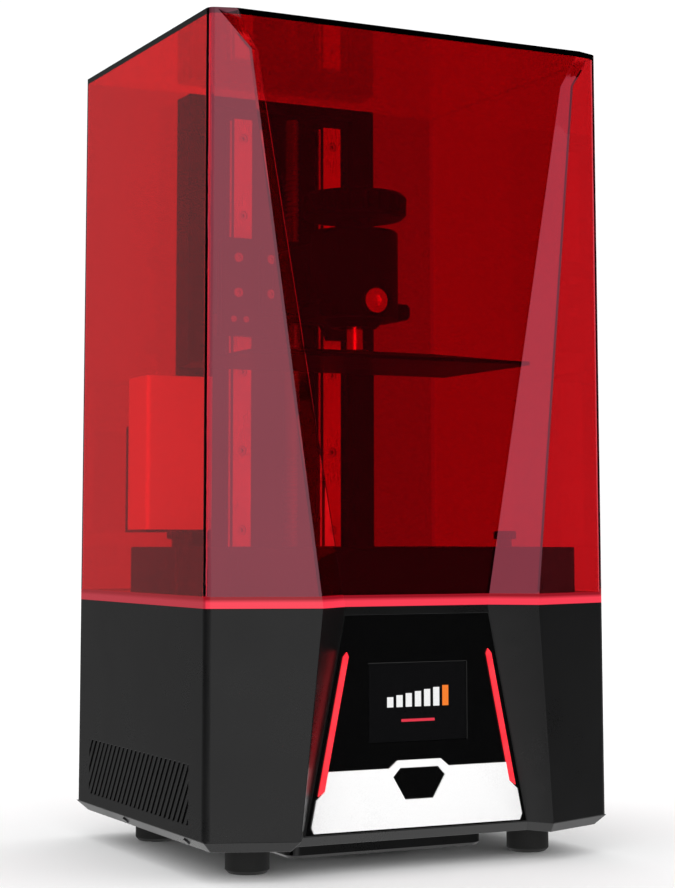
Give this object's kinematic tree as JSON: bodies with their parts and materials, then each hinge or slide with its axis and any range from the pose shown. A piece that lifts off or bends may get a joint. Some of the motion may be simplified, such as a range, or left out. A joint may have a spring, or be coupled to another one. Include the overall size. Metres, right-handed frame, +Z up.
{
  "type": "resin printer",
  "caption": "Desktop resin printer with a lift-off tinted cover, a vat, a vertical lift with its build platform, and a housing with a touch screen.",
  "frame": {"origin": "middle of the overall box in X and Y, on the surface that the feet stand on", "axes": "+X to the right seen from the front, +Y to the back, +Z up; the touch screen faces -Y"},
  "size_m": [0.3058, 0.273, 0.5673],
  "materials": {
    "black_enamel": "fine satin powder coat",
    "black_anodised": "black anodised, satin",
    "gloss_black": "piano black",
    "white_trim": "satin white",
    "red_light": "lit red diffuser",
    "red_acrylic": "clear tinted acrylic, polished",
    "screen_glass": "polished, dark behind",
    "lcd_glass": "polished, near black",
    "clear_lens": "clear",
    "clear_film": "clear release film",
    "ground_steel": "ground",
    "carrier_steel": "ground, darker",
    "bright_chrome": "polished",
    "black_screws": "black oxide",
    "steel_screws": "zinc plated",
    "thumb_metal": "black anodised, knurled",
    "knob_plastic": "moulded, fine grain",
    "bronze": "machined bronze",
    "dark_plastic": "moulded",
    "bare_aluminium": "bare, extruded",
    "sheet_steel": "bare sheet",
    "motor_case": "lacquered laminations",
    "circuit_board": "solder mask",
    "grey_plastic": "moulded, fine grain",
    "grille_plastic": "moulded",
    "carbon_filter": "pleated filter",
    "foot_rubber": "moulded rubber"
  },
  "bodies": {
    "base": {"base_shell": "black_enamel", "bottom_pan": "black_enamel", "deck_plate": "black_enamel", "rear_panel": "black_enamel", "intake_cover": "black_enamel", "purifier_bracket": "black_enamel", "tower_column": "black_anodised", "vat_frame": "black_anodised", "film_clamp_ring": "black_anodised", "front_fascia": "gloss_black", "hexagon_inlay": "gloss_black", "lower_trim": "white_trim", "accent_strip_left": "red_light", "accent_strip_right": "red_light", "screen_glass": "screen_glass", "exposure_lcd": "lcd_glass", "collimating_lens": "clear_lens", "vat_film": "clear_film", "rail_left": "ground_steel", "rail_right": "ground_steel", "case_screws": "black_screws", "rail_screws": "steel_screws", "led_fan_frame": "dark_plastic", "exhaust_fan_frame": "dark_plastic", "power_switch_housing": "dark_plastic", "power_inlet": "dark_plastic", "limit_sensor": "dark_plastic", "screen_module": "dark_plastic", "heat_sink": "bare_aluminium", "light_hood": "bare_aluminium", "usb_socket": "sheet_steel", "lift_motor": "motor_case", "mainboard": "circuit_board", "led_board": "circuit_board", "purifier_body": "grey_plastic", "purifier_grille": "grille_plastic", "purifier_filter": "carbon_filter", "rubber_feet": "foot_rubber"},
    "cover": {"cover_shell": "red_acrylic", "cover_rim": "red_acrylic"},
    "screw": {"lead_screw": "ground_steel"},
    "carriage": {"rail_block_left": "carrier_steel", "rail_block_right": "carrier_steel", "carriage_plate": "black_anodised", "carriage_bolts": "steel_screws", "limit_flag": "sheet_steel", "lead_nut": "bronze", "cantilever_arm": "black_anodised", "clamp_head": "black_anodised"},
    "knob": {"locking_knob": "knob_plastic"},
    "clamp": {"clamp_screw": "bright_chrome"},
    "seat": {"ball_seat": "bronze"},
    "platform": {"ball_stud": "bright_chrome", "build_plate": "black_anodised"},
    "vat_screw_left": {"vat_thumbscrew_left": "thumb_metal"},
    "vat_screw_right": {"vat_thumbscrew_right": "thumb_metal"},
    "led_fan": {"led_fan_rotor": "dark_plastic"},
    "exhaust_fan": {"exhaust_fan_rotor": "dark_plastic"},
    "rocker": {"power_switch_rocker": "dark_plastic"}
  },
  "joints": [
    {"name": "cover_lift", "type": "slide", "parent": "base", "child": "cover", "axis": [0, 0, 1], "range_m": [0, 0.4]},
    {"name": "z_lift", "type": "slide", "parent": "base", "child": "carriage", "axis": [0, 0, 1], "range_m": [-0.156, 0.09]},
    {"name": "screw_spin", "type": "hinge", "parent": "base", "child": "screw", "pos_m": [0, 0.08574, 0.36], "axis": [0, 0, 1], "continuous": true},
    {"name": "knob_turn", "type": "hinge", "parent": "carriage", "child": "knob", "pos_m": [0, -0.02076, 0.457], "axis": [0, 0, 1], "range_deg": [0, 540]},
    {"name": "clamp_turn", "type": "hinge", "parent": "carriage", "child": "clamp", "pos_m": [0, -0.05246, 0.3855], "axis": [0, -1, 0], "range_deg": [0, 360]},
    {"name": "tilt_fore_aft", "type": "hinge", "parent": "carriage", "child": "seat", "pos_m": [0, -0.02076, 0.382], "axis": [1, 0, 0], "range_deg": [-1, 1]},
    {"name": "tilt_side", "type": "hinge", "parent": "seat", "child": "platform", "pos_m": [0, -0.02076, 0.382], "axis": [0, 1, 0], "range_deg": [-1, 1]},
    {"name": "vat_screw_left_turn", "type": "hinge", "parent": "base", "child": "vat_screw_left", "pos_m": [-0.1299, -0.01426, 0.22], "axis": [0, 0, 1], "range_deg": [0, 720]},
    {"name": "vat_screw_right_turn", "type": "hinge", "parent": "base", "child": "vat_screw_right", "pos_m": [0.1299, -0.01426, 0.22], "axis": [0, 0, 1], "range_deg": [0, 720]},
    {"name": "led_fan_spin", "type": "hinge", "parent": "base", "child": "led_fan", "pos_m": [0, -0.02076, 0.028], "axis": [0, 0, 1], "continuous": true},
    {"name": "exhaust_fan_spin", "type": "hinge", "parent": "base", "child": "exhaust_fan", "pos_m": [0, 0.1242, 0.096], "axis": [0, 1, 0], "continuous": true},
    {"name": "rocker_tip", "type": "hinge", "parent": "base", "child": "rocker", "pos_m": [-0.088, 0.1322, 0.066], "axis": [1, 0, 0], "range_deg": [-16, 0]}
  ],
  "couplings": [
    {"joint": "screw_spin", "follows": "z_lift", "rad_per_m": -1570.8}
  ]
}
